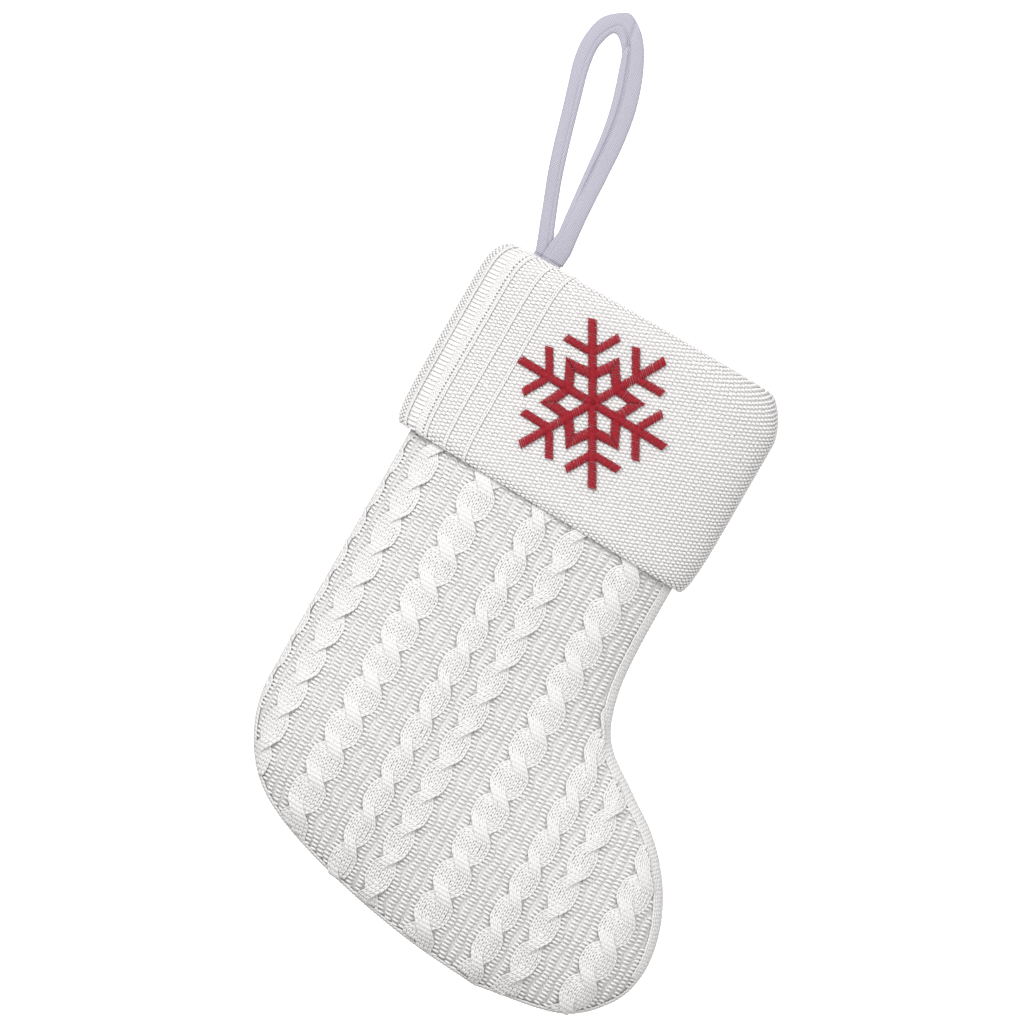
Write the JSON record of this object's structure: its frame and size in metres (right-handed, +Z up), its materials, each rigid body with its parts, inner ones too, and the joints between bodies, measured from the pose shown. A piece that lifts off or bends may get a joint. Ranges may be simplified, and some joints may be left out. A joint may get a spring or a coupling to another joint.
{
  "type": "hanging stocking",
  "caption": "Small cable-knit Christmas stocking with a turned-down cuff, an embroidered snowflake and a tape loop to hang it by.",
  "frame": {"origin": "inner top of the hanging loop, where a hook bears", "axes": "+Z up, +X towards the toe, -Y towards the embroidered front; the leg leans 30 degrees, as it hangs"},
  "size_m": [0.1769, 0.0368, 0.3351],
  "materials": {
    "cable_knit": "soft acrylic yarn, hand-knit look",
    "rib_knit": "fine acrylic rib knit",
    "satin_tape": "satin-faced woven tape",
    "embroidery_thread": "lustrous embroidery thread",
    "sewing_thread": "matt spun thread",
    "stabiliser": "non-woven felt"
  },
  "bodies": {
    "loop": {"hanging_loop": "satin_tape"},
    "neck": {"loop_neck": "satin_tape"},
    "stocking": {"loop_tails": "satin_tape", "loop_bartack": "sewing_thread", "body_front_panel": "cable_knit", "body_back_panel": "cable_knit", "body_seam": "sewing_thread", "cuff_front": "rib_knit", "cuff_back": "rib_knit", "cuff_side_seams": "sewing_thread", "cuff_join_seam": "sewing_thread", "snowflake": "embroidery_thread", "embroidery_backing": "stabiliser"}
  },
  "joints": [
    {"name": "stocking_swing", "type": "hinge", "parent": "loop", "child": "neck", "pos_m": [-0.01887, 0, -0.07046], "axis": [0, 1, 0], "range_deg": [-60, 60]},
    {"name": "stocking_tip", "type": "hinge", "parent": "neck", "child": "stocking", "pos_m": [-0.02262, 0, -0.07695], "axis": [0.866, 0, -0.5], "range_deg": [-50, 50]}
  ]
}
